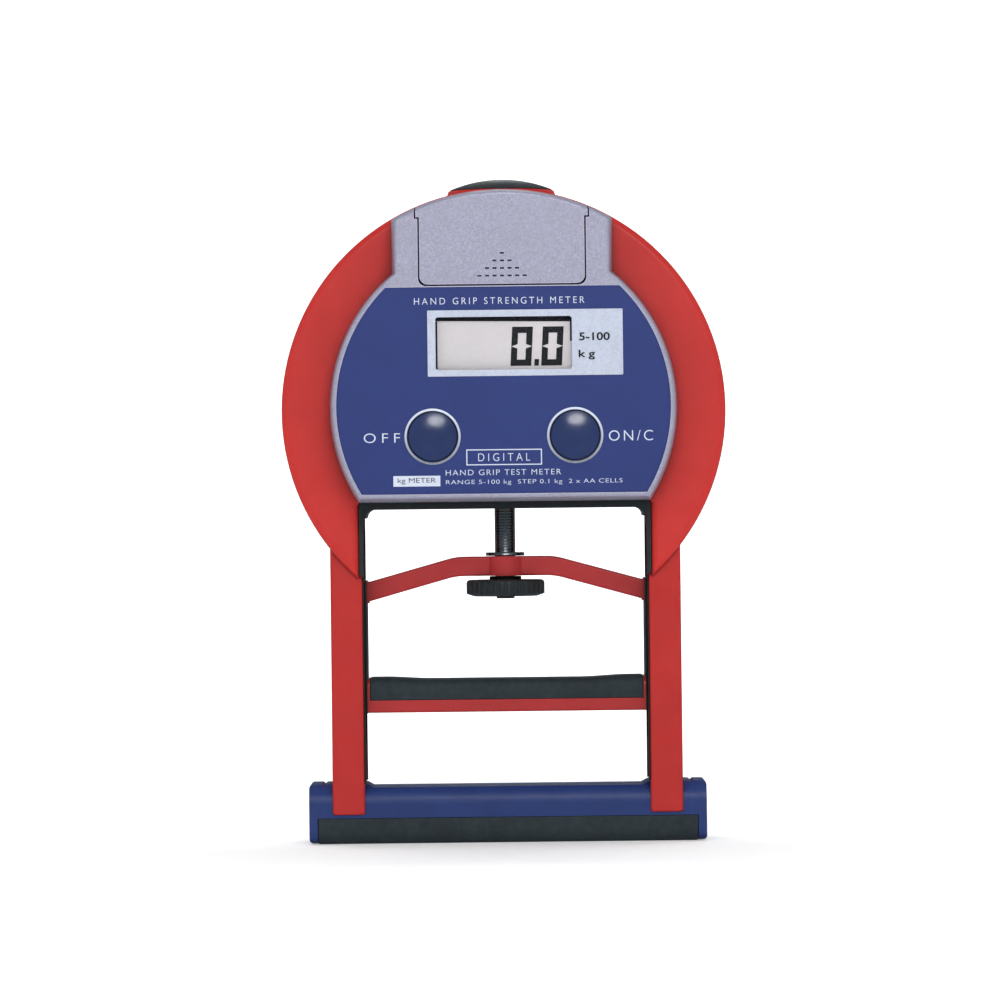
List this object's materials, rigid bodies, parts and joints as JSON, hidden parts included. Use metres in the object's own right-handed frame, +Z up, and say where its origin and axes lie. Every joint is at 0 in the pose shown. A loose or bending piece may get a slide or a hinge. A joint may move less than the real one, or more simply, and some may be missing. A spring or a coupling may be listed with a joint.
{
  "type": "hand dynamometer",
  "caption": "Spring grip-strength meter: round body with digital display, squeeze grip in a two-armed frame, width-setting knob and padded handle.",
  "frame": {"origin": "centre of the palm pad's flat underside, under the rod's axis", "axes": "+Z up along the rod towards the round body, +X along the handle to the right of someone reading the display, +Y towards the back"},
  "size_m": [0.155, 0.0618, 0.2325],
  "materials": {
    "cover_red": "red enamel, satin",
    "arm_red": "red enamel on aluminium, satin",
    "grip_red": "red enamel on aluminium, satin",
    "silver_shell": "silver metallic paint, fine sparkle",
    "panel_blue": "printed film, satin",
    "bezel_silver": "light silver, satin",
    "lcd_window": "clear window",
    "lcd_module": "pale grey display",
    "button_blue": "domed film, gloss",
    "button_ring": "silver-white ring",
    "handle_blue": "blue moulded plastic, fine grain",
    "black_rubber": "matt black rubber",
    "black_plastic": "black moulded plastic",
    "nylon": "dark grey nylon",
    "dark_steel": "blackened, polished",
    "black_metal": "black anodised, satin",
    "steel": "zinc plated",
    "spring_steel": "oiled spring steel",
    "chassis_metal": "as cast",
    "brass": "turned",
    "board_green": "circuit board",
    "cable_grey": "flat cable, satin",
    "cell_case": "plain sleeve"
  },
  "bodies": {
    "frame": {"front_cover": "cover_red", "rear_cover": "cover_red", "cover_screws": "steel", "housing_screws": "steel", "top_cap": "black_plastic", "left_arm": "arm_red", "right_arm": "arm_red", "arm_bolts": "steel", "chassis": "chassis_metal", "guide_bush": "brass", "lower_handle": "handle_blue", "foot_screws": "steel", "palm_pad": "black_rubber", "left_end_cap": "handle_blue", "right_end_cap": "handle_blue", "notch_liner": "black_plastic", "left_wear_strip": "nylon", "right_wear_strip": "nylon", "main_spring": "spring_steel", "sensor_bracket": "chassis_metal", "light_gate": "black_plastic", "sensor_board": "board_green", "sensor_cable": "cable_grey", "display_housing": "silver_shell", "face_panel": "panel_blue", "lcd_bezel": "bezel_silver", "lcd_window": "lcd_window", "lcd_module": "lcd_module", "display_board": "board_green", "board_screws": "steel", "board_components": "black_plastic", "button_rings": "button_ring", "button_switches": "black_plastic", "battery_tray": "black_plastic", "lower_cell": "cell_case", "upper_cell": "cell_case", "contact_plates": "steel", "contact_springs": "steel"},
    "pull": {"pull_nut": "brass", "sensor_rack": "nylon"},
    "grip": {"arch": "grip_red", "grip_bar": "grip_red", "finger_pad": "black_rubber", "left_leg": "black_metal", "right_leg": "black_metal", "left_guide_shoes": "nylon", "right_guide_shoes": "nylon"},
    "screw": {"adjusting_rod": "dark_steel", "adjusting_knob": "black_plastic", "thrust_washer": "nylon", "rod_collar": "dark_steel"},
    "encoder": {"sensor_pinion": "nylon", "sensor_axle": "steel", "code_disc": "black_plastic"},
    "off_key": {"off_button": "button_blue"},
    "on_key": {"on_button": "button_blue"},
    "door": {"battery_door": "silver_shell"}
  },
  "joints": [
    {"name": "grip_pull", "type": "slide", "parent": "frame", "child": "pull", "axis": [0, 0, -1], "range_m": [0, 0.006], "stiffness_N_per_m": 162000, "deforming": ["main_spring"]},
    {"name": "grip_width", "type": "slide", "parent": "pull", "child": "grip", "axis": [0, 0, 1], "range_m": [-0.018, 0.0108]},
    {"name": "knob_turn", "type": "hinge", "parent": "grip", "child": "screw", "pos_m": [0, 0, 0.089], "axis": [0, 0, 1], "range_deg": [-2172, 1308]},
    {"name": "encoder_turn", "type": "hinge", "parent": "frame", "child": "encoder", "pos_m": [0.0308, 0, 0.182], "axis": [0, -1, 0], "range_deg": [0, 72]},
    {"name": "off_press", "type": "slide", "parent": "frame", "child": "off_key", "axis": [0, 1, 0], "range_m": [0, 0.001], "stiffness_N_per_m": 2000, "springref_m": -0.0003},
    {"name": "on_press", "type": "slide", "parent": "frame", "child": "on_key", "axis": [0, 1, 0], "range_m": [0, 0.001], "stiffness_N_per_m": 2000, "springref_m": -0.0003},
    {"name": "battery_door_slide", "type": "slide", "parent": "frame", "child": "door", "axis": [0, 0, 1], "range_m": [0, 0.036]}
  ],
  "couplings": [
    {"joint": "knob_turn", "follows": "grip_width", "rad_per_m": 2094.4},
    {"joint": "encoder_turn", "follows": "grip_pull", "rad_per_m": 208.33}
  ]
}
